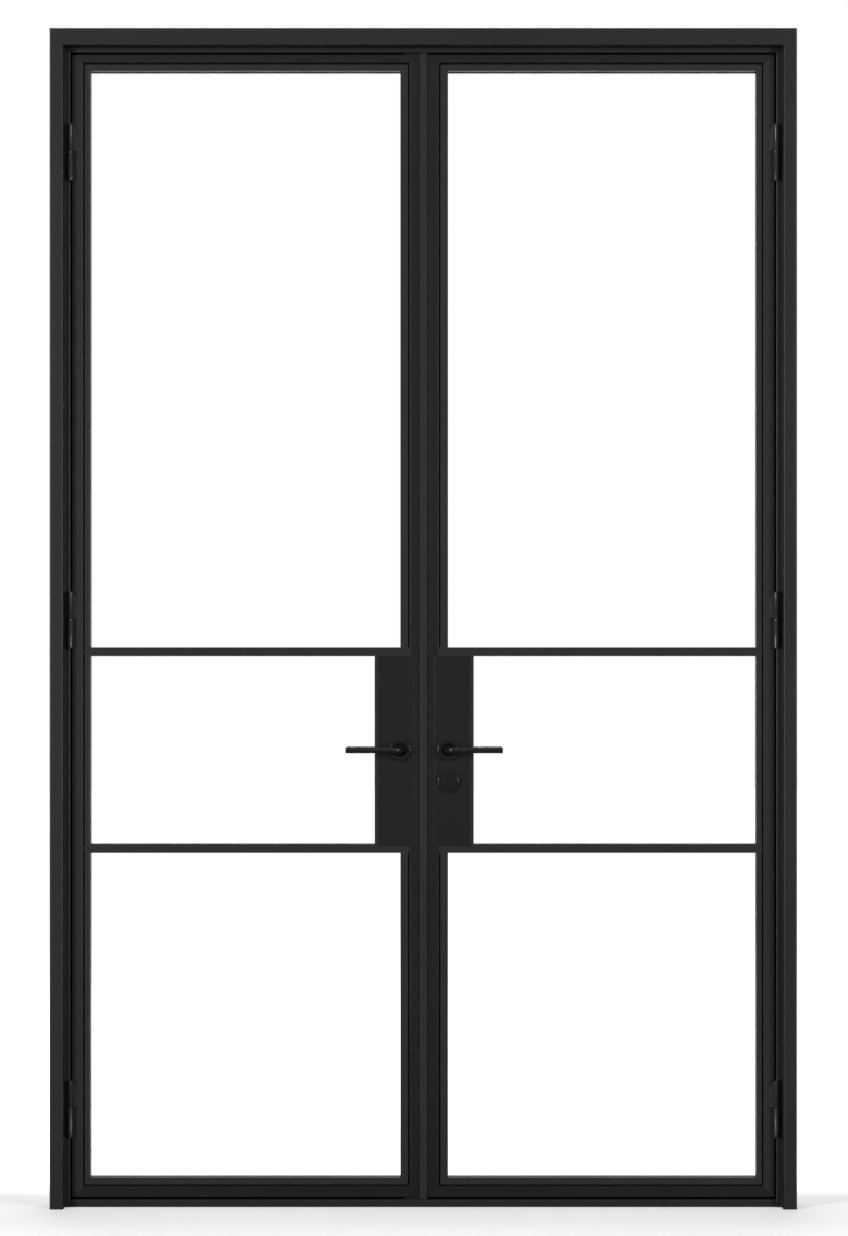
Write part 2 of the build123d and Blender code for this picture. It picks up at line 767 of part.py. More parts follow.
def group(make, sides, heights):
    """The same small piece at several places, kept as separate solids."""
    return Compound(children=[make(side, height) for side in sides for height in heights])


def frame_pieces():
    return {
        "left_jamb": jamb("left"),
        "right_jamb": jamb("right"),
        "head": head(),
        "sill": sill(),
        "frame_seal": frame_seal(),
        "top_bolt_keep": bolt_keep(rebate_z - keep_thickness),
        "bottom_bolt_keep": bolt_keep(sill_height),
        "left_frame_knuckles": group(frame_knuckle, [-1], hinge_heights),
        "right_frame_knuckles": group(frame_knuckle, [1], hinge_heights),
        "hinge_pins": group(hinge_pin, [-1, 1], hinge_heights),
        "hinge_washers": group(hinge_washer, [-1, 1], hinge_heights),
    }


def leaf_pieces(leaf):
    """Pieces that both leaves have."""
    pieces = {
        "hinge_stile": leaf_bar(leaf, leaf.hinge),
        "meeting_stile": meeting_stile(leaf),
        "top_rail": rail(leaf, "top"),
        "bottom_rail": rail(leaf, "bottom"),
        "upper_muntin": muntin(leaf, upper_muntin_z, -1),
        "lower_muntin": muntin(leaf, lower_muntin_z, 1),
        "lock_box": lock_box(leaf),
        "glazing_beads": glazing_beads(leaf),
        "upper_pane": pane(leaf, "upper"),
        "middle_pane": pane(leaf, "middle"),
        "lower_pane": pane(leaf, "lower"),
        "edge_spacers": edge_spacers(leaf),
        "glazing_gaskets": glazing_gaskets(leaf),
        "setting_blocks": setting_blocks(leaf),
        "leaf_knuckles": group(leaf_knuckle, [leaf.side], hinge_heights),
        "rosettes": Compound(children=[rosette(leaf, -1), rosette(leaf, 1)]),
        "front_lever": lever(leaf, -1),
        "back_lever": lever(leaf, 1),
        "spindle": spindle(leaf),
    }
    return {leaf.name + "_" + name: piece for name, piece in pieces.items()}


def left_leaf_pieces(leaf):
    """The left leaf's bolt gear and strike."""
    gear_top = handle_height + bolt_case_above
    gear_bottom = handle_height - bolt_case_below
    return {
        "bolt_gear_case": bolt_gear_case(leaf),
        "strike_plate": edge_plate(leaf),
        "top_bolt": shoot_bolt(gear_top - shoot_bolt_tail, rebate_z + shoot_bolt_throw),
        "bottom_bolt": shoot_bolt(sill_height - shoot_bolt_throw, gear_bottom + shoot_bolt_tail),
    }


def right_leaf_pieces(leaf):
    """The right leaf's lock and cover strip."""
    return {
        "meeting_strip": meeting_strip(),
        "key_escutcheons": Compound(children=[key_escutcheon(leaf, -1), key_escutcheon(leaf, 1)]),
        "lock_case": key_lock_case(leaf),
        "key_levers": key_levers(leaf),
        "lock_faceplate": edge_plate(leaf),
        "latch_bolt": latch_bolt(leaf),
        "dead_bolt": dead_bolt(leaf),
    }


left_leaf = Leaf(-1)
right_leaf = Leaf(1)
nodes = frame_pieces()
nodes.update(leaf_pieces(left_leaf))
nodes.update(left_leaf_pieces(left_leaf))
nodes.update(leaf_pieces(right_leaf))
nodes.update(right_leaf_pieces(right_leaf))

os.makedirs("parts", exist_ok=True)
for name, piece in nodes.items():
    export_step(piece, f"parts/{name}.step")
print(len(nodes), "nodes written")
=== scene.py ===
# %% [markdown]
# # Glazed steel french doors
#
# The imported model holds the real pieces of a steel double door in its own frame: folded jambs,
# two glazed leaves, lock boxes, hinges and handles. This lesson gives them their finishes, swaps
# the small round hardware for smoother pieces, adds the fasteners and welds that a maker sees up
# close, and sets up a plain studio around the doors.

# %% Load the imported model
import math

import bmesh
import bpy
from mathutils import Matrix, Vector


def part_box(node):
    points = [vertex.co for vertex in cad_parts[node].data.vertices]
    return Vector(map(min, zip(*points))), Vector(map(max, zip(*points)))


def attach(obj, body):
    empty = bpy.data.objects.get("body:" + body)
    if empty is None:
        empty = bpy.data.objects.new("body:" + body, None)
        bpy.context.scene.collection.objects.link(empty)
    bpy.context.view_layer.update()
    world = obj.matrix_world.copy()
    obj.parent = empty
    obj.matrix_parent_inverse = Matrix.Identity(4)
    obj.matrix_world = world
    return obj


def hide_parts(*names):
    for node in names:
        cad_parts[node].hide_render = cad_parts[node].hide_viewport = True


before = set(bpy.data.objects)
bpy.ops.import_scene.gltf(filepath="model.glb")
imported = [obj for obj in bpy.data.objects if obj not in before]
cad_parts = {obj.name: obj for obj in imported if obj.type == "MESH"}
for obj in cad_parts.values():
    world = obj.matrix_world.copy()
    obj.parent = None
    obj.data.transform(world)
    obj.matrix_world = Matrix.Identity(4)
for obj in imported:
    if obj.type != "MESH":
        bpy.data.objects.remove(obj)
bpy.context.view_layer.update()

# %% [markdown]
# ## Node trees as plain expressions
#
# Finishes and repeated shapes are both node trees. Wiring nodes by hand hides the idea, so one
# small class stands for a node's output. Adding or multiplying two of them adds a Math node, and
# a NodeSheet makes any other node from its type, its settings and the values of its sockets.

# %% A node output that takes part in arithmetic


def arithmetic(operation, number_first=False):
    """A method for one arithmetic sign, or for its reflected form."""

    def apply(self, other):
        pair = (other, self) if number_first else (self, other)
        return self.sheet.math(operation, *pair)

    return apply


class Reading:
    """One output socket. Arithmetic on it adds Math nodes to its sheet."""

    def __init__(self, sheet, node, socket):
        self.sheet, self.node, self.socket = sheet, node, socket

    def out(self, name):
        """Another output of the same node."""
        return Reading(self.sheet, self.node, self.node.outputs[name])

    def math(self, operation, *others):
        return self.sheet.math(operation, self, *others)

    __add__, __radd__ = arithmetic("ADD"), arithmetic("ADD", number_first=True)
    __sub__, __rsub__ = arithmetic("SUBTRACT"), arithmetic("SUBTRACT", number_first=True)
    __mul__, __rmul__ = arithmetic("MULTIPLY"), arithmetic("MULTIPLY", number_first=True)
    __truediv__, __rtruediv__ = arithmetic("DIVIDE"), arithmetic("DIVIDE", number_first=True)


# %% A sheet that makes nodes
class NodeSheet:
    """A node tree that is built by calls."""

    def __init__(self, tree):
        self.tree = tree

    def make(self, kind, *values, settings=None, **named):
        """A node with its settings and what goes into its inputs.

        Plain values fill the inputs in order. A named one goes to the input of that name, which
        is written with an underscore for each space.
        """
        node = self.tree.nodes.new(kind)
        for key, value in (settings or {}).items():
            setattr(node, key, value)
        for index, value in enumerate(values):
            self.feed(node.inputs[index], value)
        for key, value in named.items():
            self.feed(node.inputs[key.replace("_", " ")], value)
        free = [socket for socket in node.outputs if socket.enabled]
        return Reading(self, node, free[0] if free else None)

    def feed(self, socket, value):
        if isinstance(value, Reading):
            self.tree.links.new(value.socket, socket)
        else:
            socket.default_value = value

    def math(self, operation, *values):
        return self.make("ShaderNodeMath", *values, settings={"operation": operation})


# %% [markdown]
# ## Black powder coat
#
# The steel is sprayed with powder and baked. The film flows into a satin skin with a very fine
# orange peel, a little thicker in some places, and it rounds every sharp corner. The colour is a
# warm near-black. Copies of it are painted light and shade: the beads and bars are painted
# lighter than the frame and the rails and lock boxes painted darker, for the light and shade
# that fall on them. A low, wide noise moves the tone a little, a fine noise gives the peel, and a
# Bevel node bends the normals beside an edge so that it catches light as a coated edge does.
# Bevelled meshes would do the same with many more faces.

# %% Sheet for a new finish
MIX_COLOUR_A, MIX_COLOUR_B, MIX_COLOUR_OUT = 6, 7, 2  # these share their names with other sockets


def new_finish(name):
    """A material and the empty sheet of its nodes."""
    material = bpy.data.materials.new(name)
    material.use_nodes = True
    material.node_tree.nodes.clear()
    return material, NodeSheet(material.node_tree)


def object_place(sheet):
    return sheet.make("ShaderNodeTexCoord").out("Object")


def noise(sheet, place, scale, detail):
    return sheet.make("ShaderNodeTexNoise", Vector=place, Scale=scale, Detail=detail)


def tinted(sheet, dark, light, amount):
    """Blend of two colours by a mask."""
    mix = sheet.make("ShaderNodeMix", amount, settings={"data_type": "RGBA"})
    mix.node.inputs[MIX_COLOUR_A].default_value = (*dark, 1)
    mix.node.inputs[MIX_COLOUR_B].default_value = (*light, 1)
    return Reading(sheet, mix.node, mix.node.outputs[MIX_COLOUR_OUT])


def surface(sheet, **inputs):
    """End a finish with its Principled shader."""
    shader = sheet.make("ShaderNodeBsdfPrincipled", **inputs)
    sheet.make("ShaderNodeOutputMaterial", Surface=shader)


# %% How a coat is laid on
CLOUD_SCALE, CLOUD_DETAIL, PEEL_DETAIL = 2.3, 3.0, 2.0
CLOUD_TINT, PEEL_TINT = 0.8, 0.2
CLOUD_DULLING, PEEL_DULLING = 0.06, 0.04
PEEL_STRENGTH, BEVEL_SAMPLES = 0.35, 4


def coated(name, dark, light, gloss, peel_scale, peel_depth, edge_radius, shine=0.14):
    """A sprayed and baked finish, with its peel, its uneven tone and its rounded edges."""
    material, sheet = new_finish(name)
    place = object_place(sheet)
    cloud = noise(sheet, place, CLOUD_SCALE, CLOUD_DETAIL)
    grain = noise(sheet, place, peel_scale, PEEL_DETAIL)
    tone = tinted(sheet, dark, light, cloud * CLOUD_TINT + grain * PEEL_TINT)
    glossiest = gloss - (CLOUD_DULLING + PEEL_DULLING) / 2
    rough = glossiest + cloud * CLOUD_DULLING + grain * PEEL_DULLING
    edge = sheet.make("ShaderNodeBevel", settings={"samples": BEVEL_SAMPLES}, Radius=edge_radius)
    peel = sheet.make(
        "ShaderNodeBump", Strength=PEEL_STRENGTH, Distance=peel_depth, Height=grain, Normal=edge
    )
    surface(sheet, Base_Color=tone, Roughness=rough, Normal=peel, Specular_IOR_Level=shine)
    return material


# %% The five coats
powder_coat = coated(
    "black powder coat",
    dark=(0.0042, 0.0042, 0.0038),
    light=(0.0080, 0.0080, 0.0073),
    gloss=0.35,
    peel_scale=900,
    peel_depth=0.00008,
    edge_radius=0.0020,
)
# Painted shade: this darker copy of the black coat goes on the rails, the meeting stile and the
# lock boxes.
leaf_coat_painted_darker = coated(
    "black leaf coat",
    dark=(0.0020, 0.0020, 0.0019),
    light=(0.0042, 0.0042, 0.0040),
    gloss=0.33,
    peel_scale=900,
    peel_depth=0.00008,
    edge_radius=0.0014,
)
# Painted highlight: this lighter copy of the black coat goes on the beads, the muntins and the
# meeting strip.
bead_coat_painted_lighter = coated(
    "bead coat, painted lighter",
    dark=(0.0088, 0.0088, 0.0083),
    light=(0.0145, 0.0145, 0.0137),
    gloss=0.37,
    peel_scale=1100,
    peel_depth=0.00006,
    edge_radius=0.0012,
    shine=0.06,
)
hardware = coated(
    "black satin hardware",
    dark=(0.0024, 0.0024, 0.0024),
    light=(0.0042, 0.0042, 0.0042),
    gloss=0.15,
    peel_scale=2200,
    peel_depth=0.00001,
    edge_radius=0.0004,
    shine=0.18,
)
# Painted highlight: the hinge barrels' coat is a lighter copy of the black coat, for the light
# that they catch.
hinge_coat_painted_lighter = coated(
    "hinge coat, painted lighter",
    dark=(0.0090, 0.0090, 0.0084),
    light=(0.0135, 0.0135, 0.0127),
    gloss=0.22,
    peel_scale=1400,
    peel_depth=0.00003,
    edge_radius=0.0006,
)
coats = (powder_coat, leaf_coat_painted_darker, bead_coat_painted_lighter, hardware, hinge_coat_painted_lighter)
print("coated finishes:", ", ".join(coat.name for coat in coats))

# %% [markdown]
# ## Glass, rubber and bare steel
#
# Float glass is clear, with the faintest green. The gaskets are extruded rubber, duller than the
# paint. The lock's plates and bolts are zinc-plated, and the vertical bolts and their keeps are
# turned or cut steel blackened in oil. The bearing rings and the key levers take the same dark
# steel as painted shade, so that the line between the knuckles and the keyhole read dark. Both
# kinds have fine marks drawn out along them. The marks are one noise, stretched along the piece,
# so they need no image.

# %% Glass and rubber
GLASS_TINT, GLASS_IOR = (0.998, 1.0, 0.999, 1), 1.5
RUBBER_GRAIN_SCALE, RUBBER_GRAIN_DETAIL = 1400, 2.0
RUBBER_GRAIN_STRENGTH, RUBBER_GRAIN_DEPTH = 0.3, 0.00004
RUBBER_ROUGHNESS, RUBBER_DULLING, RUBBER_SHINE = 0.62, 0.15, 0.25


def clear_glass_finish():
    material, sheet = new_finish("clear float glass")
    surface(
        sheet,
        Base_Color=GLASS_TINT,
        Roughness=0.0,
        IOR=GLASS_IOR,
        Transmission_Weight=1.0,
    )
    return material


def rubber_finish(name, dark, light):
    material, sheet = new_finish(name)
    grain = noise(sheet, object_place(sheet), RUBBER_GRAIN_SCALE, RUBBER_GRAIN_DETAIL)
    skin = sheet.make(
        "ShaderNodeBump", Strength=RUBBER_GRAIN_STRENGTH, Distance=RUBBER_GRAIN_DEPTH, Height=grain
    )
    surface(
        sheet,
        Base_Color=tinted(sheet, dark, light, grain),
        Roughness=RUBBER_ROUGHNESS + grain * RUBBER_DULLING,
        Normal=skin,
        Specular_IOR_Level=RUBBER_SHINE,
    )
    return material


clear_glass = clear_glass_finish()
black_rubber = rubber_finish("black gasket rubber", (0.010, 0.010, 0.010), (0.018, 0.018, 0.018))
edge_seal = rubber_finish("glass edge seal", (0.014, 0.014, 0.014), (0.022, 0.022, 0.022))
print("glazing finishes:", clear_glass.name + ",", black_rubber.name, "and", edge_seal.name)

# %% Plated and blackened steel, the dark one partly painted shade
MARK_SCALE, MARK_DETAIL = 60, 4.0
MARK_STRENGTH, MARK_DEPTH, MARK_DULLING = 0.25, 0.00003, 0.12


def steel_finish(name, dark, light, gloss, stretch):
    """Bare or plated steel, with fine marks drawn out along one direction."""
    material, sheet = new_finish(name)
    drawn = sheet.make("ShaderNodeMapping", Vector=object_place(sheet), Scale=stretch)
    marks = noise(sheet, drawn, MARK_SCALE, MARK_DETAIL)
    scratch = sheet.make(
        "ShaderNodeBump", Strength=MARK_STRENGTH, Distance=MARK_DEPTH, Height=marks
    )
    surface(
        sheet,
        Base_Color=tinted(sheet, dark, light, marks),
        Roughness=gloss + marks * MARK_DULLING,
        Normal=scratch,
        Metallic=1.0,
    )
    return material


plated_steel = steel_finish(
    "zinc-plated steel",
    dark=(0.22, 0.225, 0.23),
    light=(0.31, 0.31, 0.305),
    gloss=0.38,
    stretch=(1, 1, 12),
)
# Dark steel: blackened on the bolts and their keeps, and painted shade on the bearing rings and
# the key levers.
blackened_steel_and_painted_shade = steel_finish(
    "blackened steel and painted shade",
    dark=(0.030, 0.030, 0.029),
    light=(0.050, 0.050, 0.049),
    gloss=0.30,
    stretch=(1, 1, 60),
)
print("steel finishes:", plated_steel.name, "and", blackened_steel_and_painted_shade.name)

# %% Give each carried-over piece its finish
finish_of_slot = {
    "black_powder_coat": powder_coat,
    "black_hardware": hardware,
    "plain_steel": plated_steel,
    "bearing_steel": blackened_steel_and_painted_shade,
    "black_rubber": black_rubber,
    "edge_seal": edge_seal,
    "clear_glass": clear_glass,
}
# Beads and bars take the coat painted lighter and the rails and lock boxes the coat painted
# darker, as painted light and shade.
finish_by_ending = {
    ("glazing_beads", "muntin", "meeting_strip"): bead_coat_painted_lighter,
    ("lock_box", "top_rail", "bottom_rail", "meeting_stile"): leaf_coat_painted_darker,
    # Painted shade: the key levers take the dark steel so that the keyhole reads dark.
    ("key_levers", "top_bolt", "bottom_bolt", "bolt_keep"): blackened_steel_and_painted_shade,
}
for name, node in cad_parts.items():
    finish = finish_of_slot[node.data.materials[0].name.split(".")[0]]
    for endings, ending_finish in finish_by_ending.items():
        if name.endswith(endings):
            finish = ending_finish
    node.data.materials[0] = finish
print("finishes given:", sorted(finish_of_slot))

# %% [markdown]
# ## Turned covers
#
# A rose is turned from a disc. Its rim is rounded, a fine ring is cut just inside it, and the
# middle is sunk so that the lever's neck stands in a small dark well. A turned shape is one
# outline spun round an axis, so a few pairs of radius and height are enough. Subdividing a coarse
# disc would also do, but the spun outline keeps its crisp steps.

# %% Spin an outline round a local axis
MILLIMETRE = 0.001
HEXAGON_SIDES = 6


def turned(profile, sides=96, flats=()):
    """Corners and faces of (radius, height) pairs in millimetres spun round the local Z axis.

    A band whose index is in flats is drawn as a hexagon, as the socket of a screw is.
    """
    corners, faces = [], []
    half_flat = math.pi / HEXAGON_SIDES
    for band, (radius, height) in enumerate(profile):
        for step in range(sides):
            angle = 2 * math.pi * step / sides
            reach = radius
            if band in flats:
                reach *= math.cos(half_flat) / math.cos(angle % (2 * half_flat) - half_flat)
            corner = (reach * math.cos(angle), reach * math.sin(angle), height)
            corners.append(Vector(corner) * MILLIMETRE)
    for band in range(len(profile) - 1):
        for step in range(sides):
            onward = (step + 1) % sides
            near, far = band * sides, (band + 1) * sides
            faces.append((near + step, near + onward, far + onward, far + step))
    return corners, faces


def arc(centre, size, start, end, steps=6):
    """Outline points on an arc round a (radius, height) centre, between two angles in degrees."""
    radius, height = centre
    points = []
    for step in range(steps + 1):
        angle = math.radians(start + (end - start) * step / steps)
        points.append((radius + size * math.cos(angle), height + size * math.sin(angle)))
    return points


# %% Put a shape in the scene as a clean mesh
SHARP_ANGLE = math.radians(40)
MERGE_DISTANCE = 0.01 * MILLIMETRE


def new_piece(name, corners, faces=(), edges=(), material=None):
    """A mesh object at the origin with its place in its mesh, smooth except at its sharp edges."""
    mesh = bpy.data.meshes.new(name)
    mesh.from_pydata([tuple(corner) for corner in corners], list(edges), list(faces))
    if material:
        mesh.materials.append(material)
    mesh.polygons.foreach_set("use_smooth", [True] * len(mesh.polygons))
    mesh.set_sharp_from_angle(angle=SHARP_ANGLE)
    piece = bpy.data.objects.new(name, mesh)
    bpy.context.scene.collection.objects.link(piece)
    return piece


def tidy_mesh(piece):
    """Merge doubles and turn every face outwards."""
    work = bmesh.new()
    work.from_mesh(piece.data)
    bmesh.ops.remove_doubles(work, verts=work.verts, dist=MERGE_DISTANCE)
    bmesh.ops.recalc_face_normals(work, faces=work.faces)
    work.to_mesh(piece.data)
    work.free()
    piece.data.set_sharp_from_angle(angle=SHARP_ANGLE)
    return piece


# %% The rose's outline, in millimetres
ROSE_RADIUS, ROSE_HEIGHT, ROSE_ROUND, ROSE_BORE = 24.5, 8.0, 2.2, 7.05
FINE_RING = ((21.4, 0), (21.1, 0.4), (20.5, 0.4), (20.2, 0))  # radius, depth below the face
WELL = ((12.6, 0), (12.2, 0.3), (11.7, 3.4), (11.2, 3.8), (7.2, 3.8), (ROSE_BORE, 4.0))
rose_rim = arc((ROSE_RADIUS - ROSE_ROUND, ROSE_HEIGHT - ROSE_ROUND), ROSE_ROUND, 0, 90)
rose_ring = [(radius, ROSE_HEIGHT - depth) for radius, depth in FINE_RING]
rose_well = [(radius, ROSE_HEIGHT - depth) for radius, depth in WELL]
rose_bore = [(ROSE_BORE, 0), (ROSE_RADIUS, 0)]
rose_outline = [*rose_bore, *rose_rim, *rose_ring, *rose_well, (ROSE_BORE, 0)]
rose_pattern = tidy_mesh(new_piece("rose_pattern", *turned(rose_outline), material=hardware))
print("rose faces:", len(rose_pattern.data.polygons))

# %% [markdown]
# ## Setting out copies
#
# Roses, screws and hinge barrels are one pattern used at several places. Geometry Nodes is made
# for this: the base mesh holds one point for each copy, a point carries the turn of its copy, and
# Instance on Points does the rest. The copies are then made real, because a file for other
# programs can't hold instances.

# %% A sheet for shapes, which can be run on an object
class Tree(NodeSheet):
    """A Geometry Nodes tree with named inputs."""

    def __init__(self, name, **sockets):
        super().__init__(bpy.data.node_groups.new(name, "GeometryNodeTree"))
        self.socket("Geometry", "OUTPUT", "Geometry")
        for key, kind in {"Geometry": "Geometry", **sockets}.items():
            self.socket(key, "INPUT", kind)
        self.entry = self.make("NodeGroupInput")

    def socket(self, name, in_out, kind):
        self.tree.interface.new_socket(name, in_out=in_out, socket_type="NodeSocket" + kind)

    def close(self, shape):
        """End the tree as every tree here ends: real copies with their finish."""
        real = self.make("GeometryNodeRealizeInstances", shape)
        material = self.entry.out("Material")
        painted = self.make("GeometryNodeSetMaterial", Geometry=real, Material=material)
        self.make("NodeGroupOutput", painted)

    def grow(self, base, **values):
        """Run the tree on a base object and keep the result as its plain mesh."""
        modifier = base.modifiers.new("tree", "NODES")
        modifier.node_group = self.tree
        for item in self.tree.interface.items_tree:
            if item.in_out == "INPUT" and item.name in values:
                modifier[item.identifier] = values[item.name]
        shown = base.evaluated_get(bpy.context.evaluated_depsgraph_get())
        mesh = bpy.data.meshes.new_from_object(shown)
        base.modifiers.remove(modifier)
        base.data = mesh
        return tidy_mesh(base)


# %% The setting-out tree
setting_out = Tree("setting out", Pattern="Object", Material="Material")
pattern_in = setting_out.make("GeometryNodeObjectInfo", setting_out.entry.out("Pattern"))
turn_in = setting_out.make(
    "GeometryNodeInputNamedAttribute", "turn", settings={"data_type": "FLOAT_VECTOR"}
)
turn_as_rotation = setting_out.make("FunctionNodeEulerToRotation", turn_in)
copies = setting_out.make(
    "GeometryNodeInstanceOnPoints",
    Points=setting_out.entry.out("Geometry"),
    Instance=pattern_in.out("Geometry"),
    Rotation=turn_as_rotation,
)
setting_out.close(copies)
print("nodes in the setting-out tree:", len(setting_out.tree.nodes))


def set_out(name, pattern, matrices, material):
    """Copies of a pattern at each matrix, as one mesh."""
    base = new_piece(name, [matrix.translation for matrix in matrices])
    turns = base.data.attributes.new("turn", "FLOAT_VECTOR", "POINT")
    for point, matrix in zip(turns.data, matrices):
        point.vector = matrix.to_euler()
    return setting_out.grow(base, Pattern=pattern, Material=material)


# %% [markdown]
# ## Roses and levers
#
# The lever is a single round bar: it comes straight out of the rose, bends once and runs level to
# a tip with a barely eased edge. A bar that follows a path is a curve with a round section, so
# its tree gives every point of the path a ring whose size eases off in the last millimetre.

# %% Where the handles sit
def facing(x, y, z, side):
    """Place on a leaf face: X to the right, Z away from the leaf. Side -1 is the front."""
    out = Vector((0, side, 0))
    across = Vector((1, 0, 0))
    matrix = Matrix((across, out.cross(across), out)).transposed().to_4x4()
    matrix.translation = (x, y, z)
    return matrix


def middle(node):
    low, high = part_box(node)
    return (low + high) / 2


leaf_low, leaf_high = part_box("left_hinge_stile")
leaf_face = {-1: leaf_low.y, 1: leaf_high.y}
handle_centre = {leaf: middle(leaf + "_rosettes") for leaf in ("left", "right")}
for leaf, centre in handle_centre.items():
    print(leaf, "handle at", [round(value, 4) for value in centre])

# %% Roses on both faces of each leaf
for leaf, centre in handle_centre.items():
    seats = [facing(centre.x, leaf_face[side], centre.z, side) for side in (-1, 1)]
    roses = set_out(leaf + "_turned_roses", rose_pattern, seats, hardware)
    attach(roses, leaf + "_leaf")
    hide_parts(leaf + "_rosettes")
    print(roses.name, len(roses.data.polygons), "faces")

# %% A tree for a round bar on a path
bar_on_path = Tree(
    "round bar on a path", Radius="Float", Ease="Float", Sides="Int", Material="Material"
)
path = bar_on_path.make("GeometryNodeMeshToCurve", bar_on_path.entry.out("Geometry"))
so_far = bar_on_path.make("GeometryNodeSplineParameter").out("Length")
in_all = bar_on_path.make("GeometryNodeSplineLength").out("Length")
ease = bar_on_path.entry.out("Ease")
left_over = ease - (in_all - so_far)
inside = left_over.math("MAXIMUM", 0.0)
shrink = ease - (ease * ease - inside * inside).math("SQRT")
ring_size = bar_on_path.entry.out("Radius") - shrink
sides = bar_on_path.entry.out("Sides")
section = bar_on_path.make("GeometryNodeCurvePrimitiveCircle", Resolution=sides, Radius=1.0)
skin = bar_on_path.make(
    "GeometryNodeCurveToMesh", path, section.out("Curve"), Scale=ring_size, Fill_Caps=True
)
bar_on_path.close(bar_on_path.make("GeometryNodeSetShadeSmooth", skin))
print("nodes in the bar's tree:", len(bar_on_path.tree.nodes))

# %% The line that a lever follows, in millimetres
LEVER_RADIUS, LEVER_BEND, LEVER_TIP_EASE = 6.75, 11.0, 1.1
LEVER_START, BEND_STEPS, LEVER_SIDES = 0.3, 12, 48
TIP_STEPS = (LEVER_TIP_EASE, 0.75, 0.45, 0.2, 0.06, 0)


def lever_path(out, run):
    """Centre line of a lever: out of the rose, round one bend and along to its tip."""
    toward = 1 if run > 0 else -1
    points = [(0, 0, LEVER_START), (0, 0, out - LEVER_BEND)]
    for step in range(1, BEND_STEPS + 1):
        angle = math.pi / 2 * step / BEND_STEPS
        sideways = toward * LEVER_BEND * (1 - math.cos(angle))
        points.append((sideways, 0, out - LEVER_BEND * (1 - math.sin(angle))))
    points += [(run - toward * back, 0, out) for back in TIP_STEPS]
    return [Vector(point) * MILLIMETRE for point in points]


# %% Four levers
for leaf, centre in handle_centre.items():
    for side, place in ((-1, "front"), (1, "back")):
        low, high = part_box(f"{leaf}_{place}_lever")
        run = (low.x if leaf == "left" else high.x) - centre.x
        axis_y = low.y if side < 0 else high.y
        out = abs(axis_y - leaf_face[side]) / MILLIMETRE - LEVER_RADIUS
        seat = facing(centre.x, leaf_face[side], centre.z, side)
        line = [seat @ point for point in lever_path(out, run / MILLIMETRE)]
        links = [(index, index + 1) for index in range(len(line) - 1)]
        lever = new_piece(f"{leaf}_{place}_round_lever", line, edges=links)
        bar_on_path.grow(
            lever,
            Radius=LEVER_RADIUS * MILLIMETRE,
            Ease=LEVER_TIP_EASE * MILLIMETRE,
            Sides=LEVER_SIDES,
            Material=hardware,
        )
        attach(lever, leaf + "_handle")
        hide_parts(f"{leaf}_{place}_lever")
        print(lever.name, len(lever.data.polygons), "faces")

# %% [markdown]
# ## Key escutcheon
#
# The key plate is a twin of the rose without its well: a rounded disc with a fine ring, and an
# upright slot with softened edges. The slot is a long hole with round ends, so it is cut from the
# spun disc with a Boolean, as a milling cutter would.

# %% Disc and slot cutter
SLOT_WIDTH, SLOT_HEIGHT, CUTTER_LOW, CUTTER_HIGH = 3.4, 16.0, -1, 10
plate_outline = [(0, 0), (ROSE_RADIUS, 0), *rose_rim, *rose_ring, (0, ROSE_HEIGHT)]
key_plate = tidy_mesh(new_piece("key_plate_pattern", *turned(plate_outline), material=hardware))


def prism(low_ring, high_ring):
    """Solid between two outlines in millimetres with the same number of corners."""
    count = len(low_ring)
    corners = [Vector(corner) * MILLIMETRE for corner in (*low_ring, *high_ring)]
    faces = []
    for index in range(count):
        onward = (index + 1) % count
        faces.append((index, onward, count + onward, count + index))
    faces += [tuple(range(count)), tuple(range(count, 2 * count))]
    return corners, faces


def long_hole(width, height, low, high, steps=10):
    """Closed prism with round ends, upright in local Y."""
    outline = []
    for end in (1, -1):
        for step in range(steps + 1):
            angle = math.pi * step / steps
            across, along = width / 2 * math.cos(angle), width / 2 * math.sin(angle)
            outline.append((end * across, end * ((height - width) / 2 + along)))
    low_ring, high_ring = [[(x, y, level) for x, y in outline] for level in (low, high)]
    return prism(low_ring, high_ring)


slot = long_hole(SLOT_WIDTH, SLOT_HEIGHT, CUTTER_LOW, CUTTER_HIGH)
cutter = tidy_mesh(new_piece("key_slot_cutter", *slot, material=hardware))
print("cutter faces:", len(cutter.data.polygons))

# %% Mill the slot and set the two plates out
milling = key_plate.modifiers.new("milling", "BOOLEAN")
milling.object = cutter
milling.operation = "DIFFERENCE"
milled = key_plate.evaluated_get(bpy.context.evaluated_depsgraph_get())
key_plate.data = bpy.data.meshes.new_from_object(milled)
key_plate.modifiers.clear()
key_plate.data.set_sharp_from_angle(angle=SHARP_ANGLE)

key_centre = middle("key_escutcheons")
seats = [facing(key_centre.x, leaf_face[side], key_centre.z, side) for side in (-1, 1)]
escutcheons = set_out("turned_key_escutcheons", key_plate, seats, hardware)
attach(escutcheons, "right_leaf")
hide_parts("key_escutcheons")
print(escutcheons.name, len(escutcheons.data.polygons), "faces")

# %% [markdown]
# ## Hinges
#
# Each leaf hangs on three weld-on hinges. The lower barrel is welded to the jamb and the upper one
# to the hinge stile, with a flat wing that runs to a slanted top. Both are turned, so their rims
# are eased, and a bearing ring keeps them apart. Their coat is painted lighter, as painted
# highlight, and the ring is made dark, as painted shade in the line between the knuckles. A
# bevelled cylinder could stand for a barrel, but a spun outline also holds the ring groove near
# its end. A barrel and its wing or foot are one pattern for each side of the doorway, set out at
# three heights.

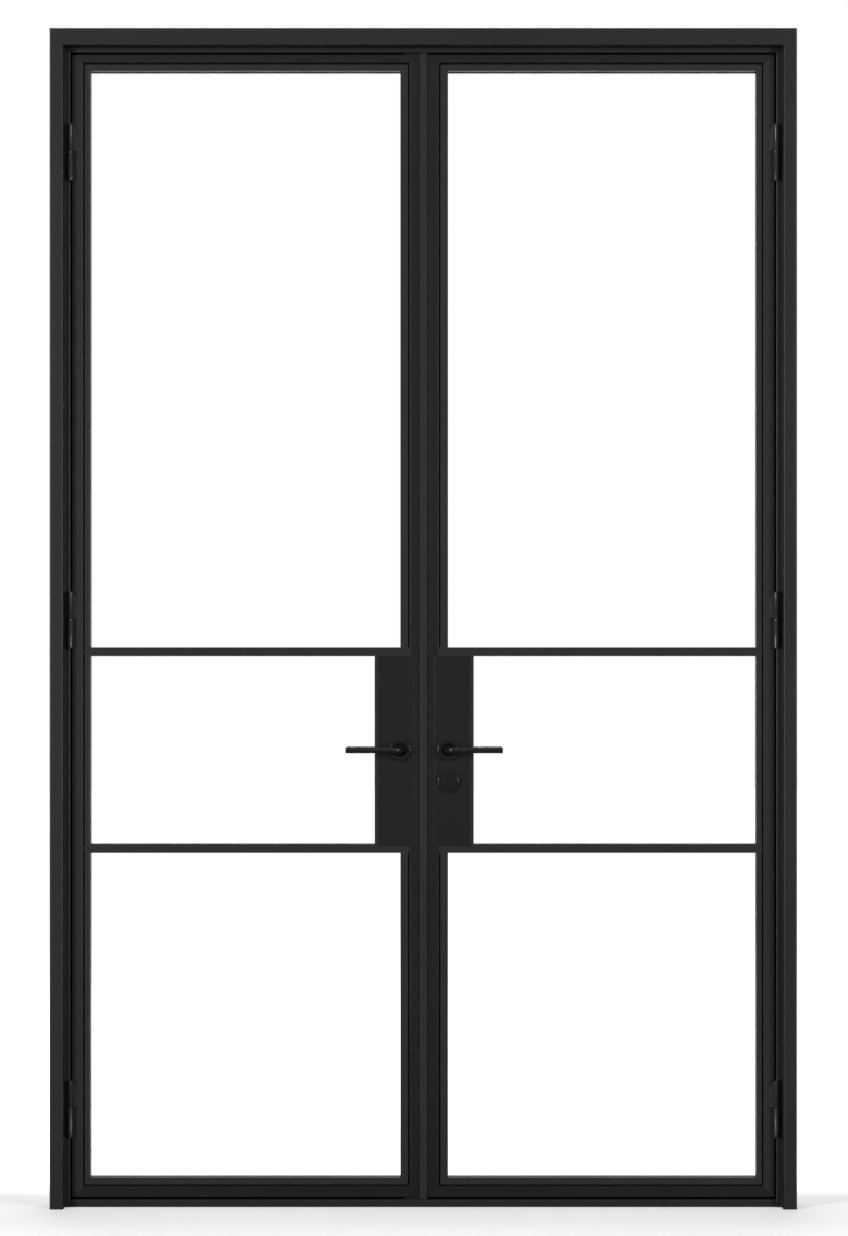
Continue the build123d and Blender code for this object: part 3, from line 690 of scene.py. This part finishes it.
# %% Sizes of a hinge, in millimetres
HINGE_HEIGHTS = (2330.0, 1297.0, 217.0)
RING_HALF, BARREL_RADIUS, BARREL_LENGTH, RING_RADIUS = 1.5, 7.1, 61.5, 7.4
RUNNING_GAP, RUNNING_EASE, RUNNING_DEPTH, BARREL_SIDES = 0.1, 0.5, 0.4, 64
RIM, RIM_STEPS = 1.4, 5
GROOVE = ((3.0, 0), (3.3, 0.35), (3.9, 0.35), (4.2, 0))  # distance from the outer end, depth
WING_REACH, WING_DROP, WING_EDGE, WING_FOOT, STAND_OFF = 15.0, 2.5, 1.5, 5.1, 8.0
SLANT_WIDTH, SLANT_HEIGHT = 6.0, 13.5
FRAME_FOOT_START, FRAME_FOOT_END = 2.5, 9.5
ring_low, ring_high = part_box("hinge_washers")
hinge_x = ring_high.x / MILLIMETRE - RING_RADIUS
hinge_y = (ring_low.y + ring_high.y) / 2 / MILLIMETRE
print("hinge axis", round(hinge_x, 2), round(hinge_y, 2))


# %% Barrels with their wings and feet
def joined(*parts):
    """Several (corners, faces) lists as one."""
    corners, faces = [], []
    for part_corners, part_faces in parts:
        start = len(corners)
        corners += part_corners
        faces += [tuple(start + index for index in face) for face in part_faces]
    return corners, faces


def barrel(low, high, outer_end):
    """Barrel with a ring groove and a rounded rim on its outer end and an eased running end."""
    run = -outer_end
    outer, inner = (high, low) if outer_end > 0 else (low, high)
    rim = []
    for step in range(RIM_STEPS + 1):
        angle = math.pi / 2 * step / RIM_STEPS
        radius = BARREL_RADIUS - RIM * (1 - math.sin(angle))
        rim.append((radius, outer + run * RIM * (1 - math.cos(angle))))
    groove = [(BARREL_RADIUS - depth, outer + run * reach) for reach, depth in GROOVE]
    eased = [(BARREL_RADIUS, inner - run * RUNNING_EASE), (BARREL_RADIUS - RUNNING_DEPTH, inner)]
    return turned([(0, outer), *rim, *groove, *eased, (0, inner)], BARREL_SIDES)


def leaf_knuckle_pattern(toward):
    """Upper barrel and its wing, which reaches over the leaf: toward is 1 for along X, or -1."""
    low = RING_HALF + RUNNING_GAP
    high = low + BARREL_LENGTH
    knee, edge = WING_REACH - SLANT_WIDTH, STAND_OFF - WING_EDGE
    knee_y = -BARREL_RADIUS + (BARREL_RADIUS + edge) * knee / WING_REACH
    front = [(0, 0), (0, -BARREL_RADIUS), (knee, knee_y), (WING_REACH, edge)]
    plan = front + [(WING_REACH, STAND_OFF), (knee, STAND_OFF), (WING_FOOT, STAND_OFF)]
    foot = [(x * toward, y, low + WING_DROP) for x, y in plan]
    top = []
    for x, y in plan:
        fall = SLANT_HEIGHT if x == WING_REACH else 0
        top.append((x * toward, y, high - WING_DROP - fall))
    return joined(barrel(low, high, 1), prism(foot, top))


def frame_knuckle_pattern(side):
    """Lower barrel and its foot on the jamb: side is -1 at the left and 1 at the right."""
    high = -RING_HALF
    low = high - BARREL_LENGTH
    weld_edge = [(FRAME_FOOT_START, STAND_OFF), (FRAME_FOOT_END, STAND_OFF)]
    plan = [(x * side, y) for x, y in ((0, 0), *weld_edge, (BARREL_RADIUS, 0))]
    foot = [(x, y, low + WING_DROP) for x, y in plan]
    top = [(x, y, high - WING_DROP) for x, y in plan]
    return joined(barrel(low, high, -1), prism(foot, top))


def hinge_places(side):
    points = [Vector((side * hinge_x, hinge_y, height)) * MILLIMETRE for height in HINGE_HEIGHTS]
    return [Matrix.Translation(point) for point in points]


# %% Knuckles at the three heights
for leaf, side in (("left", -1), ("right", 1)):
    for kind, made, body in (
        ("leaf", leaf_knuckle_pattern(-side), leaf + "_leaf"),
        ("frame", frame_knuckle_pattern(side), "frame"),
    ):
        pattern = tidy_mesh(new_piece("knuckle_pattern", *made, material=hinge_coat_painted_lighter))
        name = f"{leaf}_turned_{kind}_knuckles"
        knuckles = set_out(name, pattern, hinge_places(side), hinge_coat_painted_lighter)
        bpy.data.objects.remove(pattern)
        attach(knuckles, body)
        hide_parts(f"{leaf}_{kind}_knuckles")
        print(knuckles.name, len(knuckles.data.polygons), "faces")

# %% Bearing rings
RING_BORE, RING_EASE = 4.05, 0.4
flat_edge, side_edge = RING_RADIUS - RING_EASE, RING_HALF - RING_EASE
ring_half = [(RING_BORE, -RING_HALF), (flat_edge, -RING_HALF), (RING_RADIUS, -side_edge)]
ring_outline = ring_half + [(radius, -height) for radius, height in reversed(ring_half)]
ring_spun = turned([*ring_outline, ring_outline[0]], BARREL_SIDES)
# Painted shade: the rings take the dark steel so that the line between the knuckles reads dark.
ring_pattern = tidy_mesh(new_piece("bearing_ring_pattern", *ring_spun, material=blackened_steel_and_painted_shade))
ring_places = hinge_places(-1) + hinge_places(1)
rings = set_out("turned_bearing_rings", ring_pattern, ring_places, blackened_steel_and_painted_shade)
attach(rings, "frame")
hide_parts("hinge_washers")
print(rings.name, len(rings.data.polygons), "faces")

# %% [markdown]
# ## Screws
#
# Button-head screws with a hexagon socket hold the lock's plates and the bolt keeps, and a small
# grub screw under each lever's neck locks it to the spindle. The socket could be cut with a
# Boolean, but here it is a six-sided band in the spun outline, which leaves cleaner faces. The
# same setting-out tree makes the copies.

# %% Screw patterns, in millimetres
SCREW_SIDES = 24
SCREW_HEAD = [(3.8, -0.2), (3.8, 0.15), *arc((2.0, -1.0), 2.1, 45, 90, 4)]
SCREW_SOCKET, SCREW_SOCKET_FLOOR = [(1.55, 1.1), (1.5, 0.15)], 0.1
GRUB_HEAD = [(1.9, -0.6), (1.9, 0.05), (1.7, 0.2)]
GRUB_SOCKET, GRUB_SOCKET_FLOOR = [(1.05, 0.2), (1.0, -0.4)], -0.45


def screw_shape(name, head, socket, floor_height):
    """Spun screw whose socket points are drawn as a hexagon."""
    hexagon = range(len(head), len(head) + len(socket))
    spun = turned([*head, *socket, (0, floor_height)], SCREW_SIDES, flats=hexagon)
    return tidy_mesh(new_piece(name, *spun, material=plated_steel))


screw_pattern = screw_shape("screw_pattern", SCREW_HEAD, SCREW_SOCKET, SCREW_SOCKET_FLOOR)
grub_pattern = screw_shape("grub_pattern", GRUB_HEAD, GRUB_SOCKET, GRUB_SOCKET_FLOOR)
for pattern in (screw_pattern, grub_pattern):
    print(pattern.name, len(pattern.data.polygons), "faces")


def screwed(point, out):
    """Place of a screw whose head points along out, with point in metres."""
    matrix = Vector(out).to_track_quat("Z", "Y").to_matrix().to_4x4()
    matrix.translation = point
    return matrix


# %% Screws in the meeting edges
PLATE_SCREW_OFFSET = 110 * MILLIMETRE
for node, out, body in (("strike_plate", 1, "left_leaf"), ("lock_faceplate", -1, "right_leaf")):
    low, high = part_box(node)
    x, z = (high.x if out > 0 else low.x), (low.z + high.z) / 2
    seats = [screwed((x, 0, z + sign * PLATE_SCREW_OFFSET), (out, 0, 0)) for sign in (-1, 1)]
    screws = set_out(node + "_screws", screw_pattern, seats, plated_steel)
    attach(screws, body)
    print(screws.name, len(seats), "screws")

# %% Screws in the bolt keeps
KEEP_SCREW_OFFSET = 19 * MILLIMETRE
seats = []
for node, out in (("top_bolt_keep", -1), ("bottom_bolt_keep", 1)):
    low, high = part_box(node)
    x, z = (low.x + high.x) / 2, (high.z if out > 0 else low.z)
    seats += [screwed((x + sign * KEEP_SCREW_OFFSET, 0, z), (0, 0, out)) for sign in (-1, 1)]
keep_screws = set_out("keep_screws", screw_pattern, seats, blackened_steel_and_painted_shade)
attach(keep_screws, "frame")
print(keep_screws.name, len(seats), "screws")

# %% Grub screws under the levers
GRUB_OUT = 20 * MILLIMETRE
for leaf, centre in handle_centre.items():
    under = centre.z - LEVER_RADIUS * MILLIMETRE
    seats = []
    for side in (-1, 1):
        seats.append(screwed((centre.x, leaf_face[side] + side * GRUB_OUT, under), (0, 0, -1)))
    grubs = set_out(leaf + "_lever_grub_screws", grub_pattern, seats, plated_steel)
    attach(grubs, leaf + "_handle")
    print(grubs.name, len(seats), "screws")

# %% [markdown]
# ## Weld seams
#
# A welder runs a short seam along the edge of every hinge wing and foot. Under the coat it stays
# as a low, evenly rippled roll. A seam follows an edge, so its tree sweeps a round section along
# a line and lets the section swell a little at every ripple.

# %% The seam tree
SEAM_SWELL, STEPS_PER_RIPPLE, SEAM_SIDES = 0.14, 5, 10
seam = Tree("weld seam", Width="Float", Ripple="Float", Material="Material")
line = seam.make("GeometryNodeMeshToCurve", seam.entry.out("Geometry"))
fine_line = seam.make("GeometryNodeResampleCurve", settings={"mode": "LENGTH"}, Curve=line)
seam.feed(fine_line.node.inputs["Length"], seam.entry.out("Ripple") / STEPS_PER_RIPPLE)
along = seam.make("GeometryNodeSplineParameter").out("Length")
wave = (along * (2 * math.pi) / seam.entry.out("Ripple")).math("SINE")
swell = seam.entry.out("Width") * (1 + wave * SEAM_SWELL)
roll = seam.make("GeometryNodeCurvePrimitiveCircle", Resolution=SEAM_SIDES, Radius=1.0)
seam_skin = seam.make(
    "GeometryNodeCurveToMesh", fine_line, roll.out("Curve"), Scale=swell, Fill_Caps=True
)
seam.close(seam.make("GeometryNodeSetShadeSmooth", seam_skin))
print("nodes in the seam's tree:", len(seam.tree.nodes))

# %% Seams at the hinges, in millimetres
SEAM_WIDTH, SEAM_RIPPLE, SEAM_END = 1.1, 2.2, 1
WELD_DEPTH, WING_WELD_OUT, FOOT_WELD_IN = 0.2, 0.3, 2.6
weld_y = leaf_face[-1] / MILLIMETRE - WELD_DEPTH


def weld_seams(name, lines, body):
    corners = [Vector(end) * MILLIMETRE for line in lines for end in line]
    links = [(index, index + 1) for index in range(0, len(corners), 2)]
    base = new_piece(name, corners, edges=links)
    width, ripple = SEAM_WIDTH * MILLIMETRE, SEAM_RIPPLE * MILLIMETRE
    seam.grow(base, Width=width, Ripple=ripple, Material=powder_coat)
    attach(base, body)
    print(name, len(base.data.polygons), "faces")


def upright(x, low, high):
    """Seam line on the front face between two heights."""
    return [(x, weld_y, low), (x, weld_y, high)]


frame_lines = []
for leaf, side in (("left", -1), ("right", 1)):
    wing_x = side * (hinge_x - WING_REACH - WING_WELD_OUT)
    foot_x = side * (hinge_x + FOOT_WELD_IN)
    leaf_lines = []
    for height in HINGE_HEIGHTS:
        low, high = height + RING_HALF + WING_DROP, height - RING_HALF - WING_DROP
        wing_top = low + BARREL_LENGTH - 2 * WING_DROP - SLANT_HEIGHT
        foot_low = high - BARREL_LENGTH + 2 * WING_DROP
        leaf_lines.append(upright(wing_x, low + SEAM_END, wing_top))
        frame_lines.append(upright(foot_x, foot_low, high - SEAM_END))
    weld_seams(leaf + "_wing_welds", leaf_lines, leaf + "_leaf")
weld_seams("frame_foot_welds", frame_lines, "frame")

# %% Clear the patterns away
for pattern in (rose_pattern, key_plate, cutter, ring_pattern, screw_pattern, grub_pattern):
    bpy.data.objects.remove(pattern)

# %% [markdown]
# ## Studio
#
# The doors stand on a pale floor in an even white room. The room is 1.0 white to the camera and
# in reflections, and nearly dark as light, because four large soft lamps give the light. The two
# at the front stand wide apart, so the deep frame shades the leaves beside it, as in the
# photograph.

# %% Camera at the photograph's angle
PIXELS_WIDE, PIXELS_HIGH = 848, 1236
METRES_PER_PIXEL = 0.0022
VANISHING_POINT = (423.3, 668.0)
CAMERA_DISTANCE, CAMERA_HEIGHT, SENSOR_MILLIMETRES = 8.5, 1.1915, 36

frame_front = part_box("left_jamb")[0].y
camera_data = bpy.data.cameras.new("camera")
camera_data.sensor_width = SENSOR_MILLIMETRES
camera_data.lens = SENSOR_MILLIMETRES * CAMERA_DISTANCE / METRES_PER_PIXEL / PIXELS_HIGH
camera_data.shift_x = (PIXELS_WIDE / 2 - VANISHING_POINT[0]) / PIXELS_HIGH
camera_data.shift_y = (VANISHING_POINT[1] - PIXELS_HIGH / 2) / PIXELS_HIGH
camera = bpy.data.objects.new("camera", camera_data)
camera.location = (0, frame_front - CAMERA_DISTANCE, CAMERA_HEIGHT)
camera.rotation_euler = (math.pi / 2, 0, 0)
bpy.context.scene.collection.objects.link(camera)
bpy.context.scene.camera = camera
bpy.context.scene.view_settings.view_transform = "Standard"
print("lens", round(camera_data.lens, 1), "mm, shift", round(camera_data.shift_y, 4))

# %% Room light, white to the camera and in reflections
WHITE, ROOM_LIGHT = (1, 1, 1, 1), 0.05
world = bpy.data.worlds.new("white room")
bpy.context.scene.world = world
world.use_nodes = True
world.node_tree.nodes.clear()
room = NodeSheet(world.node_tree)
ray = room.make("ShaderNodeLightPath")
seen = ray.out("Is Camera Ray") + ray.out("Is Glossy Ray") + ray.out("Is Transmission Ray")
lit = room.make("ShaderNodeBackground", Color=WHITE, Strength=ROOM_LIGHT)
shown = room.make("ShaderNodeBackground", Color=WHITE, Strength=1.0)
both = room.make("ShaderNodeMixShader", seen, lit, shown)
room.make("ShaderNodeOutputWorld", Surface=both)
print("room nodes:", len(room.tree.nodes))


# %% Soft lamps
def soft_lamp(name, place, target, size, power):
    lamp = bpy.data.lights.new(name, "AREA")
    lamp.shape = "RECTANGLE"
    lamp.size, lamp.size_y = size
    lamp.energy = power
    holder = bpy.data.objects.new(name, lamp)
    holder.location = place
    holder.rotation_euler = (Vector(target) - Vector(place)).to_track_quat("-Z", "Y").to_euler()
    holder.visible_camera = False
    bpy.context.scene.collection.objects.link(holder)
    print(name, lamp.energy, "W")


soft_lamp("left soft lamp", (-5.8, -7.2, 2.0), (0, 0, 1.3), (1.0, 3.4), 1120)
soft_lamp("right soft lamp", (5.8, -7.2, 2.0), (0, 0, 1.3), (1.0, 3.4), 840)
soft_lamp("overhead soft lamp", (0, -1.5, 5.5), (0, -1.0, 0), (7.0, 5.0), 70)
soft_lamp("back soft lamp", (0, 5.5, 5.5), (0, 0, 1.2), (6.0, 3.0), 420)

# %% [markdown]
# ## Floor
#
# The paper under the doors is a shade of grey that fades to pure white with the distance from the
# doors, so that no horizon shows. Only the camera sees that glow, straight on or through the
# glass. The low glow near the doors is a painted pool of shade on top of the real shadows there,
# and a band of extra glow in front of them is painted light. As light and in reflections the
# floor is plain half-white paper.

# %% Pale floor
FLOOR_SIZE, PAPER = 60, (0.50, 0.50, 0.50, 1)
BASE_GLOW, FAR_GLOW, FAR_SHARE, AHEAD_PAINTED_LIGHT = 0.38, 0.95, 0.80, 0.13
ROUND_FADE, BACK_FADE, FRONT_FADE = (0.9, 2.2), (0.1, 0.5), (-0.12, -0.55)
bpy.ops.mesh.primitive_plane_add(size=FLOOR_SIZE, location=(0, 0, 0))
floor = bpy.context.object
floor.name = "floor"
floor_finish, sheet = new_finish("pale floor")


def fading(reading, start, end, brightest):
    """Soft rise from nothing to the brightest value between two distances in metres."""
    smooth = {"interpolation_type": "SMOOTHSTEP"}
    return sheet.make("ShaderNodeMapRange", reading, start, end, 0.0, brightest, settings=smooth)


spot = object_place(sheet)
away = sheet.make("ShaderNodeVectorMath", spot, settings={"operation": "LENGTH"}).out("Value")
depth = sheet.make("ShaderNodeSeparateXYZ", spot).out("Y")
# Painted shade: the glow is low near the doors and rises with the distance, round about and
# behind; painted light: a band of extra glow in front of them.
round_about = fading(away, *ROUND_FADE, FAR_GLOW)
behind = fading(depth, *BACK_FADE, FAR_GLOW)
painted_light_ahead = fading(depth, *FRONT_FADE, AHEAD_PAINTED_LIGHT)
glow = round_about.math("MAXIMUM", behind) * FAR_SHARE + painted_light_ahead + BASE_GLOW
floor_ray = sheet.make("ShaderNodeLightPath")
floor_seen = floor_ray.out("Is Camera Ray") + floor_ray.out("Is Transmission Ray")
floor_shade = sheet.make("ShaderNodeBsdfDiffuse", Color=PAPER)
floor_glow = sheet.make("ShaderNodeEmission", Color=WHITE, Strength=floor_seen * glow)
floor_both = sheet.make("ShaderNodeAddShader", floor_shade, floor_glow)
sheet.make("ShaderNodeOutputMaterial", Surface=floor_both)
floor.data.materials.append(floor_finish)
print("floor", FLOOR_SIZE, "m wide")
